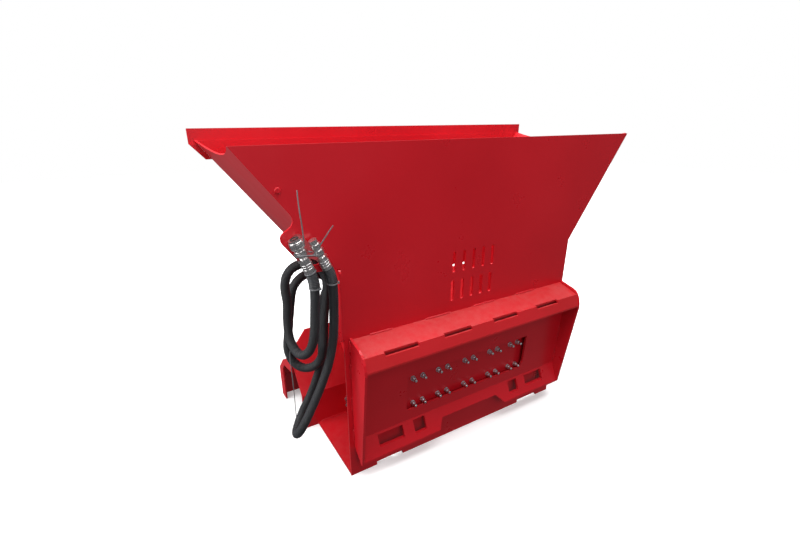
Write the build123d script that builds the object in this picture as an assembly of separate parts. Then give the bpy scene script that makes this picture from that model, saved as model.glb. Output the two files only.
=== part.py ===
from build123d import *
import os
from math import cos, sin, tan, radians, pi, sqrt, acos, degrees

# Hydraulic side-feed hopper bucket with a quick-attach frame on its back.
# X runs along the hopper, -Y is the loader side, +Z is up, the bottom stands on Z = 0.
# All lengths in millimetres. Working coordinates start at the lower left corner of
# the back plate; everything is shifted by (-CX, -CY) when it is written.

# ---------------------------------------------------------------- driving dimensions
body_w = 1200.0          # back plate width below the flare
plate_t = 8.0            # main plate thickness
sheet_t = 6.0            # formed sheet thickness
top_z = 1336.0           # hopper rim height
flare_l = 315.0          # left overhang of the rim
flare_r = 320.0          # right overhang of the rim
kink_l = 925.0           # height where the left flare meets X = 0
kink_r = 860.0           # height where the right flare starts
depth = 708.0            # outer face of the front plate
bulk_x = 200.0           # outer face of the drive-side bulkhead
trough_y = 383.0         # inner face of the trough wall
trough_z = 187.0         # top of the trough wall
slope_k = 1.147          # rise of the sloping sheet per unit depth
floor_z0, floor_z1 = 4.0, 12.0
hook_x = -68.0           # left end of the trough sheets
qa_x0, qa_x1 = 20.6, 1192.7   # outer faces of the quick-attach side plates
qa_t = 10.0              # quick-attach plate thickness
axis_y, axis_z = 200.0, 200.0 # rotor axis
rotor_r = 150.0          # over the paddles
tube_r = 57.0            # rotor tube radius
hose_d = 33.0            # work hose outside diameter over its sleeve
bolt_d = 12.0            # knife bolts
knife_x = [330.0, 463.0, 612.0, 761.0, 894.0]
bolt_dx = 25.0
bolt_z = [258.0, 382.0]

CX, CY = 602.5, 304.0

os.makedirs("parts", exist_ok=True)
shift = Location((-CX, -CY, 0))


def keep(name, *solids):
    """Writes one node; several solids become a group of separate solids."""
    out = [shift * s for s in solids]
    shape = out[0] if len(out) == 1 else Compound(children=out)
    export_step(shape, f"parts/{name}.step")
    return shape


def one(shape):
    """The single solid of a boolean result."""
    s = shape.solids()
    return s[0] if len(s) == 1 else shape


def xz(points, y0, y1):
    """Prism with an XZ outline from y0 to y1."""
    f = make_face(Polyline([Vector(p[0], y0, p[1]) for p in points] + [Vector(points[0][0], y0, points[0][1])]))
    return extrude(f, amount=y1 - y0, dir=(0, 1, 0)).solids()[0]


def yz(points, x0, x1):
    """Prism with a YZ outline from x0 to x1."""
    f = make_face(Polyline([Vector(x0, p[0], p[1]) for p in points] + [Vector(x0, points[0][0], points[0][1])]))
    return extrude(f, amount=x1 - x0, dir=(1, 0, 0)).solids()[0]


def box(x0, x1, y0, y1, z0, z1):
    return Solid.make_box(x1 - x0, y1 - y0, z1 - z0, Plane((x0, y0, z0)))


def cyl(p, d, r, length):
    """Cylinder from p along d."""
    return Solid.make_cylinder(r, length, Plane(p, z_dir=d))


def slot_y(cx, cz, w, h, y0, y1, turn=0.0):
    """Upright oblong cutter through a plate that faces Y."""
    a = box(cx - w / 2, cx + w / 2, y0, y1, cz - h / 2 + w / 2, cz + h / 2 - w / 2)
    b = cyl((cx, y0, cz - h / 2 + w / 2), (0, 1, 0), w / 2, y1 - y0)
    c = cyl((cx, y0, cz + h / 2 - w / 2), (0, 1, 0), w / 2, y1 - y0)
    s = a + b + c
    if turn:
        s = s.rotate(Axis((cx, 0, cz), (0, 1, 0)), turn)
    return s


def arc_points(c, r, a0, a1, n):
    return [(c[0] + r * cos(radians(a0 + (a1 - a0) * i / n)), c[1] + r * sin(radians(a0 + (a1 - a0) * i / n))) for i in range(n + 1)]


# ---------------------------------------------------------------- back plate
left_k = (top_z - kink_l) / flare_l
right_k = (top_z - kink_r) / flare_r
outline = [
    (-flare_l, top_z), (body_w + flare_r, top_z), (body_w, kink_r), (body_w, 0.0),
    (1113.0, 0.0), (1113.0, 17.0), (972.0, 17.0), (972.0, 0.0),
    (257.0, 0.0), (257.0, 17.0), (124.0, 17.0), (124.0, 0.0),
    (0.0, 0.0), (0.0, 928.0),
    (-86.0, 930.0), (-108.0, 936.0), (-131.0, 961.0),
    (-170.0, 1012.0), (-189.0, 1038.0), (-194.0, 1048.0), (-195.5, 1060.0), (-191.0, 1070.0), (-181.0, 1078.0),
    (-165.0, 1087.0), (-155.0, 1097.0), (-150.5, 1108.0), (-151.5, 1119.0), (-157.5, 1130.5),
]
back = xz(outline, 0.0, plate_t)
for i in range(5):
    x = 500.0 + 51.5 * i
    back -= slot_y(x, 865.0, 14.5, 88.0, -5, plate_t + 5)
    back -= slot_y(x - 3, 741.0, 17.0, 90.0, -5, plate_t + 5)
back -= slot_y(-113.0, 1012.0, 40.0, 132.0, -5, plate_t + 5, -37.5)
for kx in knife_x:
    for dx in (-bolt_dx, bolt_dx):
        for z in bolt_z:
            back -= cyl((kx + dx, -5, z), (0, 1, 0), bolt_d / 2 + 0.5, plate_t + 10)
tab_x = [(96.0, 214.0), (356.0, 500.0), (612.0, 750.0), (868.0, 1006.0)]
for a, b in tab_x:
    back -= box(a - 1, b + 1, -5, plate_t + 5, 634.0, 644.5)
back -= cyl((-196.0 + 8, -5, 1207.0), (0, 1, 0), 5.5, plate_t + 10)
keep("back_plate", one(back))

# ---------------------------------------------------------------- front plate and cutting edge
z_low = trough_z + slope_k * (depth - plate_t - trough_y)
front = xz([
    (-flare_l, top_z), (body_w + flare_r, top_z), (body_w, kink_r), (body_w, z_low + 12),
    (bulk_x, z_low + 12), (bulk_x, kink_l - left_k * bulk_x),
], depth - plate_t, depth)
keep("front_plate", front)
keep("cutting_edge", one(chamfer(box(-338, body_w + 343, depth, depth + 12, top_z - 14, top_z + 47).edges().filter_by(Axis.X).sort_by(lambda e: e.center().Z * 1000 + e.center().Y)[-1], 6)))
keep("edge_gusset_left", xz([(-338, 1322), (-282, 1260), (-257.6, 1260), (-305.1, 1322)], depth - plate_t, depth))
keep("edge_gusset_right", xz([(1543, 1322), (1487, 1260), (1469.9, 1260), (1511.6, 1322)], depth - plate_t, depth))


# ---------------------------------------------------------------- sloping end sheets, scalloped top
def end_sheet(p0, p1, side):
    """Sheet through p0 (top) and p1 (bottom) in XZ, thickness to the outside."""
    dx, dz = p1[0] - p0[0], p1[1] - p0[1]
    n = sqrt(dx * dx + dz * dz)
    nx, nz = -dz / n * sheet_t * side, dx / n * sheet_t * side
    s = xz([p0, p1, (p1[0] + nx, p1[1] + nz), (p0[0] + nx, p0[1] + nz)], plate_t, depth - plate_t)
    # scallop: a wide arc across the top edge
    R, sag = 1271.0, 48.0
    mid = ((plate_t + depth - plate_t) / 2)
    ux, uz = -dx / n, -dz / n
    c = Vector(p0[0] + ux * (R - sag), mid, p0[1] + uz * (R - sag))
    cut = Solid.make_cylinder(R, 80, Plane(c - Vector(nx, 0, nz).normalized() * 40, z_dir=Vector(nx, 0, nz)))
    return one(s - cut)


# inside faces lie on the flare lines; the sheet thickness goes inwards so that the edge stays behind the plates
keep("end_sheet_left", end_sheet((-flare_l, top_z), (bulk_x, kink_l - left_k * bulk_x), 1))
keep("end_sheet_right", end_sheet((body_w + flare_r, top_z), (body_w, kink_r), -1))


# ---------------------------------------------------------------- bulkheads
def top_line(x):
    return kink_l - left_k * x


zin = kink_l - left_k * (bulk_x + plate_t)
inner = [(plate_t, floor_z1), (trough_y, floor_z1), (trough_y, trough_z), (depth - plate_t, z_low)]
bulk = yz(inner + [(depth - plate_t, zin), (plate_t, zin)], bulk_x, bulk_x + plate_t)
bulk -= cyl((bulk_x - 5, axis_y, axis_z), (1, 0, 0), 41.5, 20)
for sy in (-1, 1):
    for sz in (-1, 1):
        bulk -= cyl((bulk_x - 5, axis_y + 42 * sy, axis_z + 42 * sz), (1, 0, 0), 6.5, 20)
keep("drive_bulkhead", one(bulk))

endp = yz(inner + [(depth - plate_t, kink_r), (plate_t, kink_r)], body_w - plate_t, body_w)
endp -= cyl((body_w - 15, axis_y, axis_z), (1, 0, 0), 26.0, 30)
for sy in (-1, 1):
    for sz in (-1, 1):
        endp -= cyl((body_w - 15, axis_y + 51 * sy, axis_z + 51 * sz), (1, 0, 0), 7.0, 30)
keep("bearing_end_plate", one(endp))

# ---------------------------------------------------------------- trough
fl = box(0, body_w, plate_t, trough_y, floor_z0, floor_z1)
fl -= box(124, 257, 0, 28, 0, 20)
fl -= box(972, 1113, 0, 28, 0, 20)
dis = box(960, 1172, 45, 350, -5, 20)
fl -= fillet(dis.edges().filter_by(Axis.Z), 14)
keep("trough_floor", one(fl))
tw = box(hook_x, body_w - plate_t, trough_y, trough_y + plate_t, 0, trough_z)
keep("trough_wall", tw)

off = sheet_t / (1 / sqrt(1 + slope_k * slope_k))
y1, z1 = depth - plate_t, z_low
y_a = trough_y + plate_t


def zs(y):
    return trough_z + slope_k * (y - trough_y)


# the sheet starts on the trough wall top and ends on the front plate
sl = yz([(trough_y, trough_z), (y_a, trough_z), (y1, zs(y1) - off + 0.0), (y1, zs(y1))], hook_x, body_w)
# cut the free left end: low corner runs to the hook, upper part stops at the bulkhead
cutter = xz([(hook_x - 20, 332), (40, 425), (bulk_x, 425), (bulk_x, 620), (hook_x - 20, 620)], trough_y - 50, depth + 50)
sl = sl - cutter
sl -= box(body_w - plate_t, body_w + 5, 300, 800, 0, 900)
keep("slope_sheet", one(sl))

sk = [(729, 0), (729, 172), (639, 262), (516.5, 331.5), (509.5, 324.0), (634, 254), (721, 168.5), (721, 0)]
# keep the bent plate clear of the sheet above it
skirt = yz(sk, hook_x, body_w - plate_t)
lower = [(y_a, trough_z - 0.0), (y1, zs(y1) - off), (y1, 900), (y_a, 900)]
skirt = skirt - yz(lower, hook_x - 30, body_w + 30)
keep("rear_skirt", one(skirt))

band = [(729, 0), (729, 172), (639, 262), (516.5, 331.5), (500, 308), (490, 262), (556, 247), (624, 235), (664, 193), (664, 0)]
hook = yz(band, hook_x - plate_t, hook_x)
keep("skirt_end_left", hook)
keep("skirt_end_right", yz(band, body_w - plate_t, body_w) - yz(lower, body_w - 30, body_w + 30))

# ---------------------------------------------------------------- hose guard beside the back plate
g = yz([(-8, 633), (-8, 925), (110, 925), (110, 633)], -8, 0)
g = fillet(g.edges().filter_by(Axis.X).sort_by(Axis.Z)[-2:], 18)
g -= yz([(-9, 655), (22, 632), (-9, 632)], -10, 2)
keep("hose_guard", one(g))

# ---------------------------------------------------------------- quick-attach frame
qi0, qi1 = qa_x0 + qa_t, qa_x1 - qa_t
top = yz([(0, 643.5), (-100, 612), (-100, 603.2), (0, 634.8)], qi0, qi1)
for a, b in tab_x:
    top += box(a, b, 0, plate_t, 635.2, 643.2)
for a, b in [(113, 263), (385, 525), (645, 785), (905, 1045)]:
    top -= box(a, b, -108, -93, 598, 622)
keep("qa_top_plate", one(top))

lip = yz([(-100, 612), (-104, 613.5), (-120, 560), (-120, 552), (-110, 552), (-100, 590)], qi0, qi1)
for a, b in [(113, 263), (385, 525), (645, 785), (905, 1045)]:
    lip -= box(a, b, -108, -92, 600, 622)
keep("qa_upper_lip", one(lip))


def qm(z):
    return -45.0 + (600.0 - z) * (26.0 / 480.0)


mp = yz([(qm(600), 600), (qm(196), 196), (qm(196) + qa_t, 196), (qm(600) + qa_t, 600)], qi0, qi1)
win = xz([(258, 422), (945, 422), (945, 277), (932, 248), (268, 248), (258, 262)], -120, 30)
keep("qa_main_plate", one(mp - win))

lo = yz([(qm(196), 196), (-63, 106), (-63, 96), (-55, 96), (qm(196) + qa_t, 185), (qm(196) + qa_t, 196)], qi0, qi1)
for a, b in [(115, 236), (965, 1086)]:
    lo -= box(a, b, -120, 30, 138, 186)
for a, b in [(290, 350), (852, 912)]:
    lo -= box(a, b, -120, 30, 132, 188)
lo -= xz([(440, 152), (762, 152), (836, 80), (404, 80)], -120, 30)
keep("qa_lower_lip", one(lo))

side = [(0, 652), (-72, 634), (-90, 626), (-103, 613), (-113, 592), (-119, 569), (-121, 548), (-66, 100), (-60, 96), (0, 148)]
keep("qa_side_left", yz(side, qa_x0, qa_x0 + qa_t))
keep("qa_side_right", yz(side, qa_x1 - qa_t, qa_x1))

# ---------------------------------------------------------------- fixed knives and their fasteners
knives, bolts, washers, nuts = [], [], [], []
for kx in knife_x:
    k = box(kx - 36, kx + 36, plate_t, plate_t + 14, 236, 404)
    ridge = yz([(plate_t + 14, 280), (plate_t + 38, 306), (plate_t + 38, 334), (plate_t + 14, 360)], kx - 7, kx + 7)
    k = k + ridge
    for dx in (-bolt_dx, bolt_dx):
        for z in bolt_z:
            k -= cyl((kx + dx, 0, z), (0, 1, 0), bolt_d / 2 + 0.5, 40)
            shank = cyl((kx + dx, -30, z), (0, 1, 0), bolt_d / 2, 30 + plate_t + 14)
            head = cyl((kx + dx, plate_t + 14, z), (0, 1, 0), 11, 6.5)
            hd = fillet((shank + head).edges().sort_by(Axis.Y)[-1:], 4)
            bolts.append(one(chamfer(hd.edges().sort_by(Axis.Y)[:1], 1.2)))
            w = cyl((kx + dx, -2.5, z), (0, 1, 0), 12, 2.5) - cyl((kx + dx, -3, z), (0, 1, 0), 6.4, 4)
            washers.append(one(w))
            hx = extrude(Plane((kx + dx, -2.5, z), x_dir=(1, 0, 0), z_dir=(0, -1, 0)) * RegularPolygon(9.0, 6, major_radius=False), 10.5)
            cone = Solid.make_cone(10.3 + 10.5, 9.6, 11.2, Plane((kx + dx, -2.4, z), z_dir=(0, -1, 0)))
            hx = (hx & cone) - cyl((kx + dx, -20, z), (0, 1, 0), bolt_d / 2 + 0.05, 25)
            nuts.append(one(hx))
    knives.append(one(k))
keep("fixed_knives", *knives)
keep("knife_bolts", *bolts)
keep("knife_washers", *washers)
keep("knife_nuts", *nuts)

sc = cyl((-188, -4.5, 1207), (0, 1, 0), 9.5, 4.5)
sc = fillet(sc.edges().sort_by(Axis.Y)[:1], 3.2) + cyl((-188, 0, 1207), (0, 1, 0), 5.2, plate_t + 6)
keep("corner_screw", one(sc))

# ---------------------------------------------------------------- rotor
tube = cyl((226, axis_y, axis_z), (1, 0, 0), tube_r, 930) - cyl((225, axis_y, axis_z), (1, 0, 0), tube_r - 8, 932)
keep("rotor_tube", one(tube))
disc_l = cyl((214, axis_y, axis_z), (1, 0, 0), tube_r + 6, 12) + cyl((214, axis_y, axis_z), (1, 0, 0), 34, 76)
disc_l -= cyl((200, axis_y, axis_z), (1, 0, 0), 13.6, 110)
keep("rotor_hub_left", one(disc_l))
disc_r = cyl((1156, axis_y, axis_z), (1, 0, 0), tube_r + 6, 12) + cyl((1100, axis_y, axis_z), (1, 0, 0), 34, 60)
disc_r -= cyl((1090, axis_y, axis_z), (1, 0, 0), 22.5, 100)
keep("rotor_hub_right", one(disc_r))
keep("rotor_stub_shaft", one(chamfer(cyl((1104, axis_y, axis_z), (1, 0, 0), 22.5, 142).edges().filter_by(GeomType.CIRCLE), 1.5)))

pads = []
core = cyl((150, axis_y, axis_z), (1, 0, 0), tube_r, 1100)
for i in range(22):
    x = 262 + 41.0 * i
    ang = 68.0 * i
    f = make_face(Polyline([Vector(x, -58, 38), Vector(x, 58, 38), Vector(x, 66, 100), Vector(x, 46, 140.5), Vector(x, 0, rotor_r), Vector(x, -46, 140.5), Vector(x, -66, 100), Vector(x, -58, 38)]))
    p = extrude(f, amount=6, dir=(1, 0, 0)).moved(Location((-3, 0, 0)))
    p = p.rotate(Axis((x, 0, 0), (0, 0, 1)), -28)
    p = p & cyl((x - 80, 0, 0), (1, 0, 0), rotor_r, 160)
    p = p.rotate(Axis((x, 0, 0), (1, 0, 0)), ang).moved(Location((0, axis_y, axis_z)))
    pads.append(one(p - core))
keep("rotor_paddles", *pads)

# ---------------------------------------------------------------- bearing on the right end plate
bx = body_w
hs = box(bx, bx + 14, axis_y - 66, axis_y + 66, axis_z - 66, axis_z + 66)
hs = fillet(hs.edges().filter_by(Axis.X), 16)
hs = hs + cyl((bx + 14, axis_y, axis_z), (1, 0, 0), 50, 20)
hs -= cyl((bx - 1, axis_y, axis_z), (1, 0, 0), 38, 50)
for sy in (-1, 1):
    for sz in (-1, 1):
        hs -= cyl((bx - 5, axis_y + 51 * sy, axis_z + 51 * sz), (1, 0, 0), 6.6, 30)
keep("bearing_housing", one(hs))
ring = cyl((bx + 2, axis_y, axis_z), (1, 0, 0), 37.95, 30) - cyl((bx, axis_y, axis_z), (1, 0, 0), 22.5, 40)
keep("bearing_insert", one(fillet(ring.edges().filter_by(GeomType.CIRCLE).sort_by(lambda e: e.center().X * 10 + e.radius)[-1:], 2)))
bb, mb = [], []
for sy in (-1, 1):
    for sz in (-1, 1):
        y, z = axis_y + 51 * sy, axis_z + 51 * sz
        hx = extrude(Plane((bx + 14, y, z), x_dir=(0, 1, 0), z_dir=(1, 0, 0)) * RegularPolygon(9.0, 6, major_radius=False), 8)
        bb.append(one(hx + cyl((bx - 22, y, z), (1, 0, 0), 6, 36)))
keep("bearing_bolts", *bb)

# ---------------------------------------------------------------- hydraulic motor on the bulkhead
mx = bulk_x
fl2 = box(mx - 16, mx, axis_y - 56, axis_y + 56, axis_z - 56, axis_z + 56)
fl2 = fillet(fl2.edges().filter_by(Axis.X), 14)
mo = fl2 + cyl((mx - 70, axis_y, axis_z), (1, 0, 0), 48, 54) + cyl((mx, axis_y, axis_z), (1, 0, 0), 41, 8)
mo += box(mx - 84, mx - 42, axis_y - 34, axis_y + 34, axis_z + 20, axis_z + 60)
mo += cyl((mx - 84, axis_y, axis_z), (1, 0, 0), 46, 14)
mo -= cyl((mx - 60, axis_y, axis_z), (1, 0, 0), 13.65, 90)
for sy in (-1, 1):
    for sz in (-1, 1):
        mo -= cyl((mx - 20, axis_y + 42 * sy, axis_z + 42 * sz), (1, 0, 0), 6.2, 40)
keep("motor_body", one(mo))
cov = cyl((mx - 106, axis_y, axis_z), (1, 0, 0), 46, 22)
cov = fillet(cov.edges().filter_by(GeomType.CIRCLE).sort_by(Axis.X)[:1], 5)
keep("motor_end_cover", one(cov))
scr = []
for i in range(7):
    a = radians(i * 360 / 7 + 12)
    scr.append(one(extrude(Plane((mx - 106, axis_y + 36 * cos(a), axis_z + 36 * sin(a)), x_dir=(0, 1, 0), z_dir=(-1, 0, 0)) * RegularPolygon(5.5, 6, major_radius=False), 6)))
keep("motor_cover_screws", *scr)
for sy in (-1, 1):
    for sz in (-1, 1):
        y, z = axis_y + 42 * sy, axis_z + 42 * sz
        hx = extrude(Plane((mx - 16, y, z), x_dir=(0, 1, 0), z_dir=(-1, 0, 0)) * RegularPolygon(9.0, 6, major_radius=False), 7.5)
        mb.append(one(hx + cyl((mx - 16, y, z), (1, 0, 0), 6, 26)))
keep("motor_bolts", *mb)
keep("motor_shaft", one(chamfer(cyl((mx - 44, axis_y, axis_z), (1, 0, 0), 13.6, 116).edges().filter_by(GeomType.CIRCLE), 1.2)))

# ---------------------------------------------------------------- hoses
A = [(-118, -27, 948), (-105, -27, 913), (-107, -26, 850), (-113, -24, 784), (-119, -26, 715), (-132, -12, 654), (-151, 20, 618),
     (-167, 60, 620), (-177, 93, 666), (-175, 101, 732), (-168, 93, 803), (-174, 96, 869), (-157, 94, 917), (-120, 85, 942),
     (-72, 71, 942), (-39, 58, 912), (-30, 51, 862), (-41, 52, 805), (-50, 52, 749), (-55, 54, 692), (-59, 54, 628),
     (-71, 58, 566), (-98, 78, 525), (-134, 107, 515), (-163, 134, 541), (-175, 148, 592), (-164, 144, 660), (-154, 144, 722),
     (-145, 144, 777), (-134, 143, 833), (-101, 147, 869), (-56, 153, 879), (-10, 161, 860), (32, 158, 821), (67, 164, 779),
     (88, 178, 732), (108, 181, 682), (124, 182, 631), (135, 182, 578), (140, 181, 525), (145, 182, 472), (148, 184, 419),
     (146, 182, 365), (146, 182, 312)]
B = [(-57, -27, 948), (-42, -27, 914), (-40, -25, 846), (-42, -22, 784), (-45, -21, 726), (-51, -19, 671), (-61, -16, 616),
     (-76, -12, 562), (-97, -8, 509), (-122, -4, 453), (-153, -2, 393), (-187, 0, 332), (-203, 28, 284), (-197, 71, 264),
     (-172, 109, 276), (-139, 127, 317), (-107, 119, 379), (-83, 112, 442), (-63, 110, 498), (-50, 108, 552), (-49, 104, 609),
     (-42, 103, 664), (-29, 113, 718), (-18, 138, 768), (8, 173, 790), (46, 200, 787), (88, 212, 757), (107, 215, 700),
     (117, 219, 646), (122, 218, 589), (126, 218, 534), (129, 219, 479), (132, 220, 423), (130, 218, 368), (130, 218, 312)]


def tube_route(pts, d, name):
    v = [Vector(*p) for p in pts]
    radii = []
    for i in range(1, len(v) - 1):
        a, b = v[i] - v[i - 1], v[i + 1] - v[i]
        turn = radians(a.get_angle(b))
        radii.append(0.45 * min(a.length, b.length) / tan(turn / 2))
    path = FilletPolyline(*v, radius=radii)
    sec = Plane(v[0], z_dir=v[1] - v[0]) * Circle(d / 2)
    s = sweep(sec, path=path, transition=Transition.ROUND)
    s = one(s)
    L = path.length
    print(name, "length", round(L), "volume ratio", round(s.volume / (pi * d * d / 4 * L), 4), "min radius", round(min(radii)), "diameters", round(min(radii) / d, 1))
    keep(name, s)
    return L


LA = tube_route(A, hose_d, "hose_pressure")
LB = tube_route(B, hose_d, "hose_return")


def turned(p, d, steps):
    """Stepped turned piece from p along d: a list of (length, radius, hexagonal)."""
    d = Vector(*d).normalized()
    out, at = None, Vector(*p)
    for ln, r, hexa in steps:
        pl = Plane(at, z_dir=d)
        s = extrude(pl * RegularPolygon(r, 6, major_radius=False), ln) if hexa else Solid.make_cylinder(r, ln, pl)
        out = s if out is None else out + s
        at = at + d * ln
    return one(out), at


def direction(a, b):
    return tuple(b[i] - a[i] for i in range(3))


# crimped ends on the motor side stand on the port fittings, those on the free side carry the couplers
def motor_end(name, pts, r, port_z):
    x, y, z = pts[-1]
    piece, _ = turned((x, y, z), (0, 0, -1), [(30, r + 1.8, False), (z - 30 - port_z, r + 0.8, True)])
    keep(name, piece)


motor_end("fitting_pressure", A, hose_d / 2, axis_z + 60)
motor_end("fitting_return", B, hose_d / 2, axis_z + 60)
up_a = direction(A[1], A[0])
fa, ta = turned(A[0], up_a, [(42, hose_d / 2 + 2.0, False), (9, 18.5, True)])
keep("ferrule_pressure", fa)
cpl, tb2 = turned(ta, up_a, [(12, 13, False), (16, 20, True), (34, 17.5, False), (7, 21, False)])
keep("coupler_female", cpl)
ua = Vector(*up_a).normalized()
s0 = ta + ua * 37.5
slv = Solid.make_cylinder(23.5, 24, Plane(s0, z_dir=ua)) - Solid.make_cylinder(17.55, 30, Plane(s0 - ua * 2, z_dir=ua))
keep("coupler_sleeve", one(slv))

up_b = direction(B[1], B[0])
fb, tb = turned(B[0], up_b, [(38, hose_d / 2 + 1.5, False), (8, 17.5, True)])
keep("ferrule_return", fb)
cm, tm = turned(tb, up_b, [(12, 12, False), (15, 18, True), (12, 14.5, False), (10, 17.5, False), (16, 14, False)])
keep("coupler_male", cm)

print("axes: sleeve", tuple(round(v, 4) for v in (ua.X, ua.Y, ua.Z)), "at", tuple(round(v, 2) for v in ((s0.X - CX), (s0.Y - CY), s0.Z)))
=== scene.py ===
import bpy, bmesh, math
from mathutils import Vector, Matrix, noise


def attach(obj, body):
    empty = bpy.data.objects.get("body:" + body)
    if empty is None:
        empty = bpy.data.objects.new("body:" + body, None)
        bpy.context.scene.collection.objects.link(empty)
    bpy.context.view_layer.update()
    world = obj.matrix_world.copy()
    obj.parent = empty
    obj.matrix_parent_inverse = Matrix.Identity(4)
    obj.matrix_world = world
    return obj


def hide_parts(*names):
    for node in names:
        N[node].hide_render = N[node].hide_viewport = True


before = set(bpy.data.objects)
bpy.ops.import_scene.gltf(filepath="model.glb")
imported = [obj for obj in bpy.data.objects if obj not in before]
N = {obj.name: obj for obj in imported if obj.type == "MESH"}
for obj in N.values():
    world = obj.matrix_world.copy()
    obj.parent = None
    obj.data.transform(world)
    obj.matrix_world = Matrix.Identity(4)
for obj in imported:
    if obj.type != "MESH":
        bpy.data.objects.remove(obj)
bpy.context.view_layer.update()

CX, CY = 602.5, 304.0


def m(q):
    """Route and outline points, written in millimetres from the plate's corner, in the row frame."""
    return Vector(((q[0] - CX) / 1000, (q[1] - CY) / 1000, q[2] / 1000))


# ------------------------------------------------------------------ camera
cam_d = bpy.data.cameras.new("camera")
cam = bpy.data.objects.new("camera", cam_d)
bpy.context.scene.collection.objects.link(cam)
bpy.context.scene.camera = cam
yaw, pitch, roll = 0.5201, -0.3692, 0.0127
fwd = Vector((math.sin(yaw) * math.cos(pitch), math.cos(yaw) * math.cos(pitch), math.sin(pitch)))
right = Vector((math.cos(yaw), -math.sin(yaw), 0))
down = fwd.cross(right)
r2 = right * math.cos(roll) + down * math.sin(roll)
d2 = -right * math.sin(roll) + down * math.cos(roll)
up = -d2
back = -fwd
M = Matrix(((r2.x, up.x, back.x, 0), (r2.y, up.y, back.y, 0), (r2.z, up.z, back.z, 0), (0, 0, 0, 1)))
M.translation = m((-532.1, -1247.7, 1383.3))
cam.matrix_world = M
cam_d.sensor_width = 36
cam_d.lens = 36 * 413.777 / 800
cam_d.shift_x = (400 - 386.556) / 800
cam_d.shift_y = (285.879 - 280) / 800
cam_d.clip_start = 0.02
cam_d.clip_end = 100


# ------------------------------------------------------------------ material helpers
def new_mat(name):
    mt = bpy.data.materials.new(name)
    mt.use_nodes = True
    nt = mt.node_tree
    nt.nodes.clear()
    out = nt.nodes.new("ShaderNodeOutputMaterial")
    b = nt.nodes.new("ShaderNodeBsdfPrincipled")
    nt.links.new(b.outputs[0], out.inputs[0])
    return mt, nt, b


def node(nt, kind, **kw):
    n = nt.nodes.new(kind)
    for k, v in kw.items():
        if k.startswith("i_"):
            key = k[2:]
            n.inputs[int(key) if key.isdigit() else key].default_value = v
        else:
            setattr(n, k, v)
    return n


def tex_noise(nt, vec, scale, detail=4, rough=0.55):
    n = node(nt, "ShaderNodeTexNoise")
    n.inputs["Scale"].default_value = scale
    n.inputs["Detail"].default_value = detail
    n.inputs["Roughness"].default_value = rough
    nt.links.new(vec, n.inputs["Vector"])
    return n.outputs["Fac"]


def ramp(nt, fac, stops):
    r = node(nt, "ShaderNodeValToRGB")
    el = r.color_ramp.elements
    while len(el) < len(stops):
        el.new(0.5)
    for e, (p, c) in zip(el, stops):
        e.position = p
        e.color = (*c, 1) if len(c) == 3 else c
    nt.links.new(fac, r.inputs[0])
    return r.outputs[0]


def mixc(nt, fac, a, b, blend="MIX"):
    x = node(nt, "ShaderNodeMix", data_type="RGBA", blend_type=blend)
    for sock, val in ((x.inputs[0], fac), (x.inputs[6], a), (x.inputs[7], b)):
        if hasattr(val, "links") or isinstance(val, bpy.types.NodeSocket):
            nt.links.new(val, sock)
        else:
            sock.default_value = val
    return x.outputs[2]


def math_n(nt, op, a, b=None, clamp=False):
    x = node(nt, "ShaderNodeMath", operation=op, use_clamp=clamp)
    for sock, val in ((x.inputs[0], a), (x.inputs[1], b)):
        if val is None:
            continue
        if isinstance(val, bpy.types.NodeSocket):
            nt.links.new(val, sock)
        else:
            sock.default_value = val
    return x.outputs[0]


def bump(nt, b, heights):
    """heights: list of (socket, distance in metres, strength)."""
    last = None
    for h, dist, strength in heights:
        n = node(nt, "ShaderNodeBump")
        n.inputs["Distance"].default_value = dist
        n.inputs["Strength"].default_value = strength
        nt.links.new(h, n.inputs["Height"])
        if last is not None:
            nt.links.new(last, n.inputs["Normal"])
        last = n.outputs[0]
    nt.links.new(last, b.inputs["Normal"])


def position(nt):
    return node(nt, "ShaderNodeTexCoord").outputs["Object"]


def stretched(nt, vec, sx, sy, sz):
    mp = node(nt, "ShaderNodeMapping")
    mp.inputs["Scale"].default_value = (sx, sy, sz)
    nt.links.new(vec, mp.inputs["Vector"])
    return mp.outputs[0]


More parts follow.
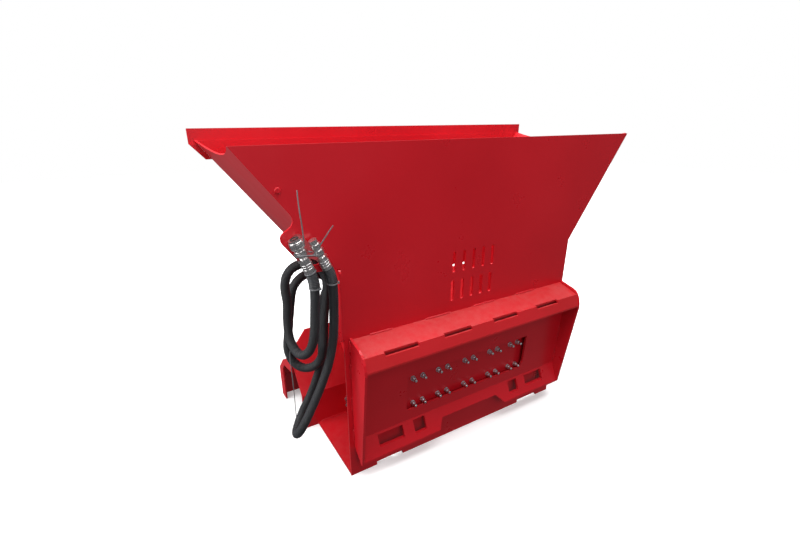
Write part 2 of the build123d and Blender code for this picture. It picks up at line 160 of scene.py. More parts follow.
def paint(name, base, deep, pale, rough=0.30, worn=0.0, dust=0.10):
    """Powder coat: orange peel, soft cloudiness, fine dust on upward faces, small chips."""
    mt, nt, b = new_mat(name)
    P = position(nt)
    cloud = tex_noise(nt, P, 2.2, 2, 0.4)
    c = ramp(nt, cloud, [(0.25, deep), (0.55, base), (0.85, pale)])
    streak = tex_noise(nt, stretched(nt, P, 6, 6, 0.7), 5.0, 4, 0.6)
    c = mixc(nt, math_n(nt, "MULTIPLY", ramp(nt, streak, [(0.52, (0, 0, 0)), (0.80, (1, 1, 1))]), 0.08), c, (*pale, 1))
    geo = node(nt, "ShaderNodeNewGeometry")
    sep = node(nt, "ShaderNodeSeparateXYZ")
    nt.links.new(geo.outputs["Normal"], sep.inputs[0])
    upf = ramp(nt, sep.outputs["Z"], [(0.25, (0, 0, 0)), (0.95, (1, 1, 1))])
    fine = tex_noise(nt, P, 38.0, 6, 0.7)
    dustf = math_n(nt, "MULTIPLY", math_n(nt, "MULTIPLY", upf, ramp(nt, fine, [(0.38, (0, 0, 0)), (0.7, (1, 1, 1))])), dust, True)
    c = mixc(nt, dustf, c, (0.42, 0.30, 0.26, 1))
    chips = ramp(nt, tex_noise(nt, P, 120.0, 3, 0.5), [(0.80 - worn, (0, 0, 0)), (0.81 - worn, (1, 1, 1))])
    c = mixc(nt, math_n(nt, "MULTIPLY", chips, 0.35 if worn > 0 else 0.0), c, (deep[0] * 0.35, deep[1] * 0.6, deep[2] * 0.6, 1))
    nt.links.new(c, b.inputs["Base Color"])
    r = node(nt, "ShaderNodeMapRange")
    r.inputs[3].default_value = rough - 0.06
    r.inputs[4].default_value = rough + 0.12
    nt.links.new(tex_noise(nt, P, 7.0, 5, 0.6), r.inputs[0])
    r2_ = math_n(nt, "ADD", r.outputs[0], math_n(nt, "MULTIPLY", dustf, 0.9), True)
    nt.links.new(r2_, b.inputs["Roughness"])
    b.inputs["Specular IOR Level"].default_value = 0.42
    peel = tex_noise(nt, P, 420.0, 2, 0.5)
    wave = tex_noise(nt, P, 3.0, 1, 0.4)
    bump(nt, b, [(peel, 0.00005, 0.10), (wave, 0.0015, 0.05)])
    return mt


def metal(name, base, rough=0.28, grain=(1, 1, 1), stain=(0.25, 0.24, 0.22), stain_amt=0.25, bump_s=0.25, metallic=1.0):
    mt, nt, b = new_mat(name)
    P = position(nt)
    g = tex_noise(nt, stretched(nt, P, *grain), 320.0, 3, 0.6)
    cl = tex_noise(nt, P, 60.0, 4, 0.6)
    c = ramp(nt, cl, [(0.3, tuple(x * 0.78 for x in base)), (0.6, base), (0.8, tuple(min(1, x * 1.12) for x in base))])
    c = mixc(nt, math_n(nt, "MULTIPLY", ramp(nt, tex_noise(nt, P, 130.0, 5, 0.7), [(0.55, (0, 0, 0)), (0.75, (1, 1, 1))]), stain_amt), c, (*stain, 1))
    nt.links.new(c, b.inputs["Base Color"])
    b.inputs["Metallic"].default_value = metallic
    r = node(nt, "ShaderNodeMapRange")
    r.inputs[3].default_value = max(0.08, rough - 0.1)
    r.inputs[4].default_value = rough + 0.18
    nt.links.new(g, r.inputs[0])
    nt.links.new(r.outputs[0], b.inputs["Roughness"])
    bump(nt, b, [(g, 0.00015, bump_s)])
    return mt


RED = paint("red_powder_coat", (0.56, 0.008, 0.016), (0.50, 0.006, 0.013), (0.60, 0.012, 0.022), 0.27, 0.0, 0.015)
RED_IN = paint("red_powder_coat_inside", (0.54, 0.008, 0.016), (0.46, 0.006, 0.012), (0.58, 0.014, 0.024), 0.31, 0.0, 0.05)
RED_LIP = paint("red_powder_coat_worn", (0.52, 0.012, 0.018), (0.44, 0.010, 0.013), (0.58, 0.030, 0.030), 0.32, 0.02, 0.10)
ROTOR = paint("rotor_coat", (0.48, 0.010, 0.018), (0.30, 0.006, 0.01), (0.55, 0.03, 0.03), 0.38, 0.06, 0.3)
BLACK = paint("motor_coat", (0.030, 0.031, 0.034), (0.018, 0.019, 0.021), (0.05, 0.05, 0.055), 0.36, 0.0, 0.2)
CAST = paint("cast_housing", (0.10, 0.11, 0.12), (0.06, 0.065, 0.07), (0.16, 0.17, 0.18), 0.5, 0.0, 0.2)
ZINC = metal("zinc_plate", (0.70, 0.73, 0.76), 0.26, (1, 1, 1), (0.40, 0.38, 0.30), 0.25)
KNIFE = metal("knife_steel", (0.34, 0.33, 0.33), 0.42, (1, 1, 0.2), (0.20, 0.12, 0.08), 0.45, 0.4)
GROUND = metal("ground_steel", (0.62, 0.62, 0.63), 0.22, (8, 1, 1), (0.3, 0.25, 0.2), 0.15)
NICKEL = metal("bright_fitting", (0.82, 0.80, 0.79), 0.24, (1, 1, 1), (0.45, 0.30, 0.26), 0.22, 0.15)


def woven_sleeve():
    """Black textile hose sleeve; the braid follows the tube's own length and girth, kept in its UV map."""
    mt, nt, b = new_mat("hose_sleeve")
    uv = node(nt, "ShaderNodeUVMap").outputs[0]
    sep = node(nt, "ShaderNodeSeparateXYZ")
    nt.links.new(uv, sep.inputs[0])
    U, V = sep.outputs[0], sep.outputs[1]
    turns = 34.0
    a = math_n(nt, "SINE", math_n(nt, "MULTIPLY", math_n(nt, "ADD", math_n(nt, "MULTIPLY", U, 360.0), math_n(nt, "MULTIPLY", V, turns)), 2 * math.pi))
    c = math_n(nt, "SINE", math_n(nt, "MULTIPLY", math_n(nt, "SUBTRACT", math_n(nt, "MULTIPLY", U, 360.0), math_n(nt, "MULTIPLY", V, turns)), 2 * math.pi))
    weave = math_n(nt, "MULTIPLY", math_n(nt, "ADD", math_n(nt, "MULTIPLY", a, c), 1.0), 0.5)
    P = position(nt)
    cl = tex_noise(nt, P, 14.0, 4, 0.6)
    fuzz = tex_noise(nt, P, 900.0, 3, 0.7)
    col = ramp(nt, cl, [(0.3, (0.003, 0.0032, 0.004)), (0.62, (0.006, 0.0065, 0.008)), (0.85, (0.013, 0.014, 0.017))])
    col = mixc(nt, math_n(nt, "MULTIPLY", weave, 0.55), col, (0.013, 0.014, 0.018, 1))
    col = mixc(nt, math_n(nt, "MULTIPLY", ramp(nt, fuzz, [(0.6, (0, 0, 0)), (0.8, (1, 1, 1))]), 0.35), col, (0.032, 0.034, 0.039, 1))
    nt.links.new(col, b.inputs["Base Color"])
    r = node(nt, "ShaderNodeMapRange")
    r.inputs[3].default_value = 0.48
    r.inputs[4].default_value = 0.74
    nt.links.new(cl, r.inputs[0])
    nt.links.new(r.outputs[0], b.inputs["Roughness"])
    b.inputs["Sheen Weight"].default_value = 0.08
    b.inputs["Sheen Roughness"].default_value = 0.4
    b.inputs["Sheen Tint"].default_value = (0.55, 0.60, 0.72, 1)
    bump(nt, b, [(tex_noise(nt, P, 120.0, 3, 0.6), 0.0016, 0.30), (weave, 0.0008, 0.6)])
    return mt


def plastic(name, base, rough=0.45, spec=0.5):
    mt, nt, b = new_mat(name)
    P = position(nt)
    cl = tex_noise(nt, P, 45.0, 4, 0.6)
    c = ramp(nt, cl, [(0.3, tuple(x * 0.7 for x in base)), (0.65, base), (0.85, tuple(min(1, x * 1.35) for x in base))])
    nt.links.new(c, b.inputs["Base Color"])
    r = node(nt, "ShaderNodeMapRange")
    r.inputs[3].default_value = rough - 0.08
    r.inputs[4].default_value = rough + 0.15
    nt.links.new(cl, r.inputs[0])
    nt.links.new(r.outputs[0], b.inputs["Roughness"])
    b.inputs["Specular IOR Level"].default_value = spec
    bump(nt, b, [(tex_noise(nt, P, 700.0, 2, 0.5), 0.0002, 0.4)])
    return mt


SLEEVE = woven_sleeve()
GUARD = plastic("ribbed_guard", (0.035, 0.036, 0.040), 0.42)
TIE = plastic("cable_tie", (0.20, 0.20, 0.21), 0.32)
RUBBER = plastic("seal_rubber", (0.02, 0.02, 0.02), 0.6, 0.3)


def assign(name, mat):
    o = N[name]
    if not o.data.materials:
        o.data.materials.append(mat)
    for i in range(len(o.data.materials)):
        o.data.materials[i] = mat


for n in ("back_plate", "front_plate", "cutting_edge", "edge_gusset_left", "edge_gusset_right", "bearing_end_plate", "trough_wall",
          "rear_skirt", "skirt_end_left", "skirt_end_right", "hose_guard", "qa_lower_lip", "qa_main_plate", "qa_side_left", "qa_side_right", "corner_screw"):
    assign(n, RED)
for n in ("end_sheet_left", "end_sheet_right", "drive_bulkhead", "trough_floor", "slope_sheet"):
    assign(n, RED_IN)
for n in ("qa_upper_lip", "qa_top_plate"):
    assign(n, RED_LIP)
for n in ("knife_bolts", "knife_washers", "knife_nuts", "bearing_bolts", "motor_bolts", "motor_cover_screws"):
    assign(n, ZINC)
assign("fixed_knives", KNIFE)
for n in ("rotor_tube", "rotor_hub_left", "rotor_hub_right", "rotor_paddles"):
    assign(n, ROTOR)
for n in ("rotor_stub_shaft", "motor_shaft", "bearing_insert"):
    assign(n, GROUND)
assign("bearing_housing", CAST)
assign("motor_body", BLACK)
assign("motor_end_cover", BLACK)
for n in ("fitting_pressure", "fitting_return", "ferrule_pressure", "ferrule_return", "coupler_female", "coupler_male", "coupler_sleeve"):
    assign(n, NICKEL)


# ------------------------------------------------------------------ mesh helpers
def add_mesh(name, verts, faces, mat, body="chassis", smooth=True, uvs=None):
    me = bpy.data.meshes.new(name)
    me.from_pydata([tuple(v) for v in verts], [], faces)
    me.validate()
    me.update()
    if smooth:
        for p in me.polygons:
            p.use_smooth = True
    if uvs is not None:
        layer = me.uv_layers.new(name="UVMap")
        for p in me.polygons:
            for li, vi in zip(p.loop_indices, p.vertices):
                layer.data[li].uv = uvs[vi]
    ob = bpy.data.objects.new(name, me)
    bpy.context.scene.collection.objects.link(ob)
    ob.data.materials.append(mat)
    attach(ob, body)
    return ob


def nurbs_line(pts, res=10):
    """Points along the smooth line of a route."""
    cu = bpy.data.curves.new("line", "CURVE")
    cu.dimensions = "3D"
    cu.resolution_u = res
    sp = cu.splines.new("NURBS")
    sp.points.add(len(pts) - 1)
    for p, q in zip(sp.points, pts):
        p.co = (*q, 1)
    sp.order_u = 3
    sp.use_endpoint_u = True
    ob = bpy.data.objects.new("line", cu)
    bpy.context.scene.collection.objects.link(ob)
    bpy.context.view_layer.update()
    me = bpy.data.meshes.new_from_object(ob)
    line = [v.co.copy() for v in me.vertices]
    bpy.data.objects.remove(ob)
    bpy.data.curves.remove(cu)
    bpy.data.meshes.remove(me)
    return line


def even(line, step):
    """The same line with points an even distance apart."""
    s = [0.0]
    for a, b in zip(line, line[1:]):
        s.append(s[-1] + (b - a).length)
    n = max(2, int(round(s[-1] / step)))
    out, j = [], 0
    for i in range(n + 1):
        t = s[-1] * i / n
        while j < len(s) - 2 and s[j + 1] < t:
            j += 1
        f = (t - s[j]) / max(1e-9, s[j + 1] - s[j])
        out.append(line[j].lerp(line[j + 1], min(1, f)))
    return out, s[-1]


def frames(path):
    """Tangent and two normals carried along a path without twist."""
    n = len(path)
    tang = [(path[min(i + 1, n - 1)] - path[max(i - 1, 0)]).normalized() for i in range(n)]
    a = Vector((0, 0, 1)) if abs(tang[0].z) < 0.9 else Vector((0, 1, 0))
    u = (a - tang[0] * a.dot(tang[0])).normalized()
    res = []
    for i in range(n):
        u = (u - tang[i] * u.dot(tang[i])).normalized()
        res.append((tang[i], u, tang[i].cross(u)))
    return res


def tube(name, path, radius, mat, sides=20, body="chassis", closed_ends=True, v_per_turn=1.0, u0=0.0):
    """Mesh tube along path; radius is a number or radius(i, angle index, distance, outward)."""
    fr = frames(path)
    verts, faces, uvs = [], [], []
    s = u0
    for i, (p, (t, u, w)) in enumerate(zip(path, fr)):
        if i:
            s += (p - path[i - 1]).length
        for k in range(sides + 1):
            a = 2 * math.pi * (k % sides) / sides
            d = u * math.cos(a) + w * math.sin(a)
            r = radius(i, k % sides, s, d) if callable(radius) else radius
            if k < sides:
                verts.append(p + d * r)
                uvs.append((s, k / sides))
    ns = len(path)
    for i in range(ns - 1):
        for k in range(sides):
            a, b = i * sides + k, i * sides + (k + 1) % sides
            faces.append((a, b, b + sides, a + sides))
    if closed_ends:
        faces.append(tuple(reversed(range(sides))))
        faces.append(tuple((ns - 1) * sides + k for k in range(sides)))
    me = bpy.data.meshes.new(name)
    me.from_pydata([tuple(v) for v in verts], [], faces)
    me.update()
    layer = me.uv_layers.new(name="UVMap")
    for p in me.polygons:
        if len(p.vertices) != 4:
            continue
        idx = list(p.vertices)
        wrap = max(v % sides for v in idx) == sides - 1 and min(v % sides for v in idx) == 0
        for li, vi in zip(p.loop_indices, idx):
            uu, vv = uvs[vi]
            if wrap and vi % sides == 0:
                vv = 1.0
            layer.data[li].uv = (uu, vv * v_per_turn)
        p.use_smooth = True
    ob = bpy.data.objects.new(name, me)
    bpy.context.scene.collection.objects.link(ob)
    ob.data.materials.append(mat)
    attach(ob, body)
    return ob


# ------------------------------------------------------------------ hoses
A = [(-118, -27, 948), (-105, -27, 913), (-107, -26, 850), (-113, -24, 784), (-119, -26, 715), (-132, -12, 654), (-151, 20, 618),
     (-167, 60, 620), (-177, 93, 666), (-175, 101, 732), (-168, 93, 803), (-174, 96, 869), (-157, 94, 917), (-120, 85, 942),
     (-72, 71, 942), (-39, 58, 912), (-30, 51, 862), (-41, 52, 805), (-50, 52, 749), (-55, 54, 692), (-59, 54, 628),
     (-71, 58, 566), (-98, 78, 525), (-134, 107, 515), (-163, 134, 541), (-175, 148, 592), (-164, 144, 660), (-154, 144, 722),
     (-145, 144, 777), (-134, 143, 833), (-101, 147, 869), (-56, 153, 879), (-10, 161, 860), (32, 158, 821), (67, 164, 779),
     (88, 178, 732), (108, 181, 682), (124, 182, 631), (135, 182, 578), (140, 181, 525), (145, 182, 472), (148, 184, 419),
     (146, 182, 365), (146, 182, 312)]
B = [(-57, -27, 948), (-42, -27, 914), (-40, -25, 846), (-42, -22, 784), (-45, -21, 726), (-51, -19, 671), (-61, -16, 616),
     (-76, -12, 562), (-97, -8, 509), (-122, -4, 453), (-153, -2, 393), (-187, 0, 332), (-203, 28, 284), (-197, 71, 264),
     (-172, 109, 276), (-139, 127, 317), (-107, 119, 379), (-83, 112, 442), (-63, 110, 498), (-50, 108, 552), (-49, 104, 609),
     (-42, 103, 664), (-29, 113, 718), (-18, 138, 768), (8, 173, 790), (46, 200, 787), (88, 212, 757), (107, 215, 700),
     (117, 219, 646), (122, 218, 589), (126, 218, 534), (129, 219, 479), (132, 220, 423), (130, 218, 368), (130, 218, 312)]


def sleeved_hose(name, pts, node_name, seed):
    """The textile sleeve sits a little loose on the hose: it creases on the inside of each bend and hardly anywhere else."""
    line = nurbs_line([m(p) for p in reversed(pts)], 12)
    path, length = even(line, 0.0035)
    n = len(path)
    curv = []
    for i in range(n):
        a, b, c = path[max(i - 4, 0)], path[i], path[min(i + 4, n - 1)]
        curv.append((a + c) / 2 - b)
    sm = []
    for i in range(n):
        lo, hi = max(0, i - 5), min(n, i + 6)
        v = Vector((0, 0, 0))
        for q in curv[lo:hi]:
            v += q
        sm.append(v / (hi - lo))
    span = 8 * 0.0035

    def rad(i, k, s, d):
        kv = sm[i] * (8 / (span * span))
        bend = min(1.0, kv.length * 0.045)
        inner = 0.5 + 0.5 * (d.dot(kv) / kv.length if kv.length > 1e-6 else 0)
        end = min(1.0, min(i, n - 1 - i) / 12)
        crease = math.sin(s * 2 * math.pi / 0.0165 + 2.1 * noise.noise(Vector((s * 23, seed, 0)))) * 0.0011 * bend * inner * inner
        soft = 0.00065 * noise.noise(Vector((s * 34 + seed * 7, d.x * 1.6, d.z * 1.6 + d.y)))
        flat = 0.00045 * noise.noise(Vector((s * 9 + seed, d.y * 2.0, d.x)))
        return 0.01625 + (crease + soft + flat) * end

    ob = tube(name, path, rad, SLEEVE, sides=26)
    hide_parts(node_name)
    return path


def cuff(name, path, ln, r0, seed):
    """Ribbed guard over the hose's last stretch below its ferrule."""
    sub, _ = even(path, 0.0011)
    keep, s = [], 0.0
    for a, b in zip(sub, sub[1:]):
        keep.append(a)
        s += (b - a).length
        if s > ln:
            break

    def rad(i, k, s, d):
        end = min(1.0, min(i, len(keep) - 1 - i) / 3)
        return r0 - 0.0012 * (1 - end) + 0.0009 * math.sin(s * 2 * math.pi / 0.0062) * end

    return tube(name, keep, rad, GUARD, sides=32)


def band(name, centre, axis, r, w=0.0048, th=0.0013, head=True, tail=None, turn=0.0):
    """Cable tie round one hose: flat toothed band and lock head."""
    axis = axis.normalized()
    a = Vector((0, 0, 1)) if abs(axis.z) < 0.9 else Vector((0, 1, 0))
    u = (a - axis * a.dot(axis)).normalized()
    v = axis.cross(u)
    verts, faces = [], []
    seg = 48
    prof = [(-w / 2, 0), (w / 2, 0), (w / 2, th * 0.7), (w / 2 * 0.8, th), (-w / 2 * 0.8, th), (-w / 2, th * 0.7)]
    for i in range(seg):
        t = 2 * math.pi * i / seg
        d = u * math.cos(t) + v * math.sin(t)
        for x, y in prof:
            verts.append(centre + axis * x + d * (r + y))
    k = len(prof)
    for i in range(seg):
        for j in range(k):
            a0, b0 = i * k + j, i * k + (j + 1) % k
            a1, b1 = ((i + 1) % seg) * k + j, ((i + 1) % seg) * k + (j + 1) % k
            faces.append((a0, a1, b1, b0))
    if head:
        d = u * math.cos(turn) + v * math.sin(turn)
        e = axis.cross(d)
        c = centre + d * (r + 0.0028)
        base = len(verts)
        for sx in (-1, 1):
            for sy in (-1, 1):
                for sz in (-1, 1):
                    k2 = 0.82 if sz > 0 else 1.0
                    verts.append(c + axis * sx * 0.0041 * k2 + e * sy * 0.0044 * k2 + d * sz * 0.0026)
        for f in ((0, 1, 3, 2), (4, 6, 7, 5), (0, 4, 5, 1), (2, 3, 7, 6), (0, 2, 6, 4), (1, 5, 7, 3)):
            faces.append(tuple(base + q for q in f))
    return add_mesh(name, verts, faces, TIE, smooth=False)


def strip(name, pts, w0, w1, th, side):
    """Tie tail: a thin tapering strip."""
    line, _ = even(nurbs_line([m(p) for p in pts], 12), 0.004)
    fr = frames(line)
    verts, faces = [], []
    n = len(line)
    side = Vector(side)
    for i, (p, (t, u, w)) in enumerate(zip(line, fr)):
        f = i / (n - 1)
        ww = (w0 + (w1 - w0) * f) / 2
        e = (side - t * side.dot(t)).normalized()
        g = t.cross(e)
        tooth = 0.00018 * (i % 2)
        for a, b in ((-1, -1), (1, -1), (1, 1), (-1, 1)):
            verts.append(p + e * ww * a + g * (th / 2 * b + (tooth if b > 0 else 0)))
    for i in range(n - 1):
        for k in range(4):
            a, b = i * 4 + k, i * 4 + (k + 1) % 4
            faces.append((a, b, b + 4, a + 4))
    faces.append((3, 2, 1, 0))
    faces.append(tuple((n - 1) * 4 + k for k in range(4)))
    return add_mesh(name, verts, faces, TIE, smooth=False)


cuffA = None
lineA = list(reversed(nurbs_line([m(p) for p in reversed(A)], 12)))
lineB = list(reversed(nurbs_line([m(p) for p in reversed(B)], 12)))
cuffA = cuff("cuff_pressure", lineA, 0.060, 0.0184, 1)
cuffB = cuff("cuff_return", lineB, 0.055, 0.0180, 2)


def at(line, dist):
    """Point and direction that far along a line."""
    s = 0.0
    for a, b in zip(line, line[1:]):
        d = (b - a).length
        if s + d >= dist:
            return a.lerp(b, (dist - s) / d), (b - a).normalized()
        s += d
    return line[-1], (line[-1] - line[-2]).normalized()


pA, dA = at(lineA, 0.0635)
pB, dB = at(lineB, 0.0585)
tieA = band("tie_pressure_guard", pA, dA, 0.0180, turn=2.4)
tieB = band("tie_return_guard", pB, dB, 0.0178, turn=2.0)
pA2, dA2 = at(lineA, 0.004)
tieA2 = band("tie_pressure_top", pA2, dA2, 0.0192, turn=0.4)
pathA = sleeved_hose("hose_pressure_sleeve", A, "hose_pressure", 3.0)
pathB = sleeved_hose("hose_return_sleeve", B, "hose_return", 8.0)

# loose tie tails at the hanging point and from the bundle
strip("tie_tail_up", [(-137, -50, 1052), (-139, -54, 1098), (-144, -56, 1142), (-146, -55, 1180), (-145, -52, 1211)], 0.0046, 0.0030, 0.0013, (1, 0.4, 0))
strip("tie_tail_side", [(-108, -45, 1003), (-87, -50, 1033), (-69, -53, 1057), (-52, -51, 1077), (-36, -47, 1092)], 0.0044, 0.0030, 0.0013, (0.6, 0, -1))
strip("tie_tail_down", [(-158, 128, 640), (-178, 112, 590), (-180, 98, 539), (-180, 92, 463), (-182, 90, 381), (-183, 89, 308)], 0.0034, 0.0026, 0.0012, (1, 0.2, 0))


def ring_loop(name, pts, w, th, mat, outward):
    """Closed strap through given points, width w, thickness th."""
    line = []
    n = len(pts)
    P3 = [m(p) for p in pts]
    for i in range(n):
        p0, p1, p2, p3 = P3[(i - 1) % n], P3[i], P3[(i + 1) % n], P3[(i + 2) % n]
        for k in range(6):
            t = k / 6
            line.append(0.5 * ((2 * p1) + (p2 - p0) * t + (2 * p0 - 5 * p1 + 4 * p2 - p3) * t * t + (3 * p1 - p0 - 3 * p2 + p3) * t ** 3))
    verts, faces = [], []
    axis = Vector(outward).normalized()
    L = len(line)
    for i, p in enumerate(line):
        t = (line[(i + 1) % L] - line[(i - 1) % L]).normalized()
        e = (axis - t * axis.dot(t)).normalized()
        g = t.cross(e)
        for a, b in ((-1, -1), (1, -1), (1, 1), (-1, 1)):
            verts.append(p + e * w / 2 * a + g * th / 2 * b)
    for i in range(L):
        for k in range(4):
            a, b = i * 4 + k, i * 4 + (k + 1) % 4
            c, d = ((i + 1) % L) * 4 + k, ((i + 1) % L) * 4 + (k + 1) % 4
            faces.append((a, b, d, c))
    return add_mesh(name, verts, faces, mat, smooth=True)


# strap that ties both couplers to the slot in the ear
ring_loop("tie_to_ear", [(-160, -30, 1010), (-150, -52, 1010), (-118, -50, 1006), (-88, -46, 1001), (-68, -30, 998), (-84, -8, 1000), (-104, 3, 1004), (-118, 13, 1007),
                         (-138, 13, 1010), (-146, 3, 1010), (-157, -10, 1010)], 0.0048, 0.0014, TIE, (0.25, 0, 1))


# ------------------------------------------------------------------ coupler details
def revolve(name, origin, axis, prof, mat, body="chassis", seg=64, notches=0, depth=0.0, band_z=None):
    """Turned ring from a closed profile of (distance along axis, radius)."""
    axis = axis.normalized()
    a = Vector((0, 0, 1)) if abs(axis.z) < 0.9 else Vector((0, 1, 0))
    u = (a - axis * a.dot(axis)).normalized()
    v = axis.cross(u)
    verts, faces = [], []
    k = len(prof)
    for i in range(seg):
        t = 2 * math.pi * i / seg
        d = u * math.cos(t) + v * math.sin(t)
        for z, r in prof:
            rr = r
            if notches and band_z and band_z[0] < z < band_z[1]:
                rr = r - depth * (0.5 + 0.5 * math.cos(notches * t))
            verts.append(origin + axis * z + d * rr)
    for i in range(seg):
        for j in range(k):
            faces.append((i * k + j, i * k + (j + 1) % k, ((i + 1) % seg) * k + (j + 1) % k, ((i + 1) % seg) * k + j))
    return add_mesh(name, verts, faces, mat, body=body)


ua = (m(A[0]) - m(A[1])).normalized()
ub = (m(B[0]) - m(B[1])).normalized()
cA = m(A[0]) + ua * 0.051
s0 = cA + ua * 0.0375
prof = [(0.0002, 0.0177), (0.0002, 0.0228), (0.0012, 0.0236), (0.0038, 0.0236), (0.0046, 0.0228), (0.0052, 0.0236), (0.0090, 0.0238), (0.0128, 0.0238),
        (0.0168, 0.0238), (0.0188, 0.0236), (0.0194, 0.0228), (0.0202, 0.0236), (0.0228, 0.0236), (0.0238, 0.0228), (0.0238, 0.0177)]
knurl = revolve("coupler_sleeve_knurled", s0, ua, prof, NICKEL, body="sleeve", seg=192, notches=48, depth=0.0009, band_z=(0.0053, 0.0187))
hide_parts("coupler_sleeve")
revolve("coupler_seal", cA + ua * 0.0691, ua, [(0.0, 0.0095), (0.0, 0.0140), (0.0012, 0.0146), (0.0020, 0.0140), (0.0020, 0.0095)], RUBBER)
for i, z in enumerate((0.010, 0.0185, 0.027)):
    revolve("crimp_ring_a%d" % i, m(A[0]) + ua * z, ua, [(0, 0.0181), (0, 0.01865), (0.0008, 0.0193), (0.0034, 0.0193), (0.0042, 0.01865), (0.0042, 0.0181)], NICKEL, seg=48)
    revolve("crimp_ring_b%d" % i, m(B[0]) + ub * z, ub, [(0, 0.0176), (0, 0.01815), (0.0008, 0.0188), (0.0034, 0.0188), (0.0042, 0.01815), (0.0042, 0.0176)], NICKEL, seg=48)


# ------------------------------------------------------------------ weld beads
def bead(name, p, q, na, nb, leg=0.005, seed=0):
    """Fillet weld from p to q in the corner between two faces whose outward normals are na and nb."""
    p, q = m(p), m(q)
    na, nb = Vector(na).normalized(), Vector(nb).normalized()
    ln = (q - p).length
    t = (q - p).normalized()
    n = max(6, int(ln / 0.0011))
    verts, faces = [], []
    K = 7
    for i in range(n + 1):
        f = i / n
        c = p + t * ln * f
        end = min(1.0, (0.5 + min(f, 1 - f) * ln / 0.006))
        ph = (ln * f / 0.0042 + 0.25 * noise.noise(Vector((f * ln * 60, seed, 0)))) % 1.0
        rip = 0.90 + 0.16 * (1 - (2 * ph - 1) ** 2)
        wob = 1 + 0.10 * noise.noise(Vector((f * ln * 45, seed, 3.0)))
        L = leg * end * wob
        verts.append(c - (na + nb) * 0.0004)
        for k in range(K):
            a = k / (K - 1)
            d = na * math.sin(a * math.pi / 2) + nb * math.cos(a * math.pi / 2)
            bulge = 0.74 + 0.10 * math.sin(a * math.pi)
            r = L * (1.0 if k in (0, K - 1) else bulge * rip)
            verts.append(c + d * r - (nb * 0.0003 if k == K - 1 else Vector()) - (na * 0.0003 if k == 0 else Vector()))
    w = K + 1
    for i in range(n):
        for k in range(w):
            a, b = i * w + k, i * w + (k + 1) % w
            faces.append((a, b, b + w, a + w))
    faces.append(tuple(reversed(range(w))))
    faces.append(tuple(n * w + k for k in range(w)))
    return add_mesh(name, verts, faces, RED)


X, Y, Z = Vector((1, 0, 0)), Vector((0, 1, 0)), Vector((0, 0, 1))
# quick-attach frame to the back plate
for k, (a, b) in enumerate([(96, 214), (356, 500), (612, 750), (868, 1006)]):
    bead("weld_tab_%d" % k, (a + 8, 0, 643.6), (b - 8, 0, 643.6), (0, 0.0, 1), (0, -1, 0), 0.0050, k)
for k, (z0, z1) in enumerate([(180, 235), (330, 392), (480, 540), (590, 640)]):
    bead("weld_side_left_%d" % k, (20.6, 0, z0), (20.6, 0, z1), (0, -1, 0), (-1, 0, 0), 0.0050, 10 + k)
    bead("weld_side_right_%d" % k, (1192.7, 0, z0), (1192.7, 0, z1), (0, -1, 0), (1, 0, 0), 0.0050, 20 + k)


def qy(z):
    return -45.0 + (600.0 - z) * (26.0 / 480.0)


for k, (z0, z1) in enumerate([(215, 262), (350, 405), (505, 560)]):
    bead("weld_main_left_%d" % k, (30.6, qy(z0), z0), (30.6, qy(z1), z1), (1, 0, 0), (0, -1, 0), 0.0045, 30 + k)
    bead("weld_main_right_%d" % k, (1182.7, qy(z0), z0), (1182.7, qy(z1), z1), (0, -1, 0), (-1, 0, 0), 0.0045, 40 + k)
# drive bay corners
bead("weld_bulk_floor", (200, 40, 12), (200, 340, 12), (0, 0, 1), (-1, 0, 0), 0.0050, 70)
bead("weld_bulk_wall", (200, 383, 20), (200, 383, 180), (0, -1, 0), (-1, 0, 0), 0.0050, 71)
bead("weld_floor_wall", (20, 383, 12), (190, 383, 12), (0, 0, 1), (0, -1, 0), 0.0050, 72)
bead("weld_floor_plate", (20, 8, 12), (190, 8, 12), (0, 0, 1), (0, 1, 0), 0.0050, 73)
# right end: bearing plate edge and flare
for k, (z0, z1) in enumerate([(30, 110), (300, 380), (560, 640), (760, 840)]):
    bead("weld_endplate_%d" % k, (1192, 8, z0), (1192, 8, z1), (0, 1, 0), (-1, 0, 0), 0.0045, 80 + k)
for k, (y0, y1) in enumerate([(60, 150), (300, 400), (550, 640)]):
    bead("weld_fold_right_%d" % k, (1200, y0, 860), (1200, y1, 860), (1, 0, 0), (0.7, 0, -0.7), 0.0045, 90 + k)

# grease nipple on the bearing housing
gp = Vector(((1217 - CX) / 1000, (200 - CY) / 1000, 0.2 + 0.0495))
revolve("grease_nipple", gp, Vector((0.25, 0, 1)), [(-0.001, 0.0004), (-0.001, 0.0040), (0.004, 0.0040), (0.0045, 0.0024), (0.0085, 0.0022), (0.0095, 0.0030), (0.0112, 0.0026), (0.0124, 0.0012), (0.0124, 0.0004)],
        ZINC, seg=24)

# ------------------------------------------------------------------ floor and light
me = bpy.data.meshes.new("floor")
me.from_pydata([(-14, -14, -0.0006), (14, -14, -0.0006), (14, 14, -0.0006), (-14, 14, -0.0006)], [], [(0, 1, 2, 3)])
floor = bpy.data.objects.new("floor", me)
bpy.context.scene.collection.objects.link(floor)
fm, nt, b = new_mat("floor_pale")
fp = position(nt)
c = ramp(nt, tex_noise(nt, fp, 0.8, 3, 0.5), [(0.3, (0.80, 0.80, 0.80)), (0.7, (0.84, 0.84, 0.84))])
nt.links.new(c, b.inputs["Base Color"])
b.inputs["Roughness"].default_value = 0.7
b.inputs["Specular IOR Level"].default_value = 0.2
ln = node(nt, "ShaderNodeVectorMath", operation="LENGTH")
nt.links.new(fp, ln.inputs[0])
glow = ramp(nt, math_n(nt, "MULTIPLY", ln.outputs["Value"], 0.2), [(0.16, (0.30, 0.30, 0.30)), (0.52, (1.0, 1.0, 1.0))])
em = nt.nodes.new("ShaderNodeEmission")
nt.links.new(glow, em.inputs[0])
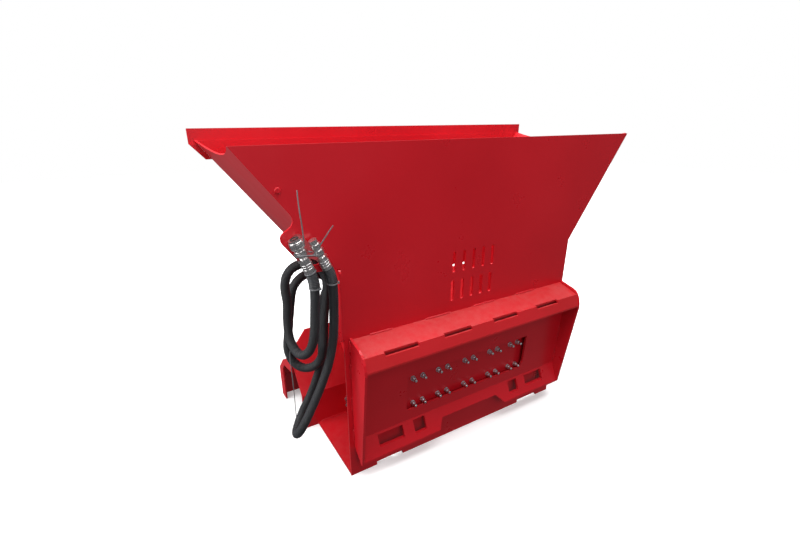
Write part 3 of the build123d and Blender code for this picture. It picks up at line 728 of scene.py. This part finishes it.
em.inputs[1].default_value = 1.0
add = nt.nodes.new("ShaderNodeAddShader")
outm = [n for n in nt.nodes if n.type == "OUTPUT_MATERIAL"][0]
nt.links.new(b.outputs[0], add.inputs[0])
nt.links.new(em.outputs[0], add.inputs[1])
nt.links.new(add.outputs[0], outm.inputs[0])
me.materials.append(fm)
# the pale floor only shows below the object; the lamps and the sky light the paint
floor.visible_glossy = False
floor.visible_diffuse = False

w = bpy.data.worlds.new("studio")
bpy.context.scene.world = w
w.use_nodes = True
nt = w.node_tree
nt.nodes.clear()
outw = nt.nodes.new("ShaderNodeOutputWorld")
seen = nt.nodes.new("ShaderNodeBackground")
seen.inputs[0].default_value = (1, 1, 1, 1)
seen.inputs[1].default_value = 1.0
fill = nt.nodes.new("ShaderNodeBackground")
tc = nt.nodes.new("ShaderNodeTexCoord")
sp = nt.nodes.new("ShaderNodeSeparateXYZ")
nt.links.new(tc.outputs["Generated"], sp.inputs[0])
rp = nt.nodes.new("ShaderNodeValToRGB")
rp.color_ramp.elements[0].position = 0.0
rp.color_ramp.elements[0].color = (0.20, 0.20, 0.21, 1)
rp.color_ramp.elements[1].position = 0.9
rp.color_ramp.elements[1].color = (0.95, 0.95, 0.97, 1)
nt.links.new(sp.outputs[2], rp.inputs[0])
nt.links.new(rp.outputs[0], fill.inputs[0])
fill.inputs[1].default_value = 0.64
lp = nt.nodes.new("ShaderNodeLightPath")
mx = nt.nodes.new("ShaderNodeMixShader")
nt.links.new(lp.outputs["Is Camera Ray"], mx.inputs[0])
nt.links.new(fill.outputs[0], mx.inputs[1])
nt.links.new(seen.outputs[0], mx.inputs[2])
nt.links.new(mx.outputs[0], outw.inputs[0])


def area(name, loc, target, size, power, color=(1, 1, 1)):
    l = bpy.data.lights.new(name, "AREA")
    l.shape = "RECTANGLE"
    l.size, l.size_y = size
    l.energy = power
    l.color = color
    o = bpy.data.objects.new(name, l)
    bpy.context.scene.collection.objects.link(o)
    o.location = loc
    o.rotation_euler = (Vector(target) - Vector(loc)).to_track_quat("-Z", "Y").to_euler()
    return o


area("key_left", (-4.8, 0.2, 2.4), (-0.2, 0, 0.7), (3.0, 3.0), 240)
area("top", (0.0, 0.2, 5.0), (0, 0.0, 0), (5.0, 5.0), 520)
area("front_soft", (-1.2, -5.2, 3.4), (0.0, 0, 0.7), (2.4, 2.4), 75)

bpy.context.scene.view_settings.view_transform = "Standard"
bpy.context.scene.view_settings.look = "None"
bpy.context.scene.view_settings.exposure = 0.0
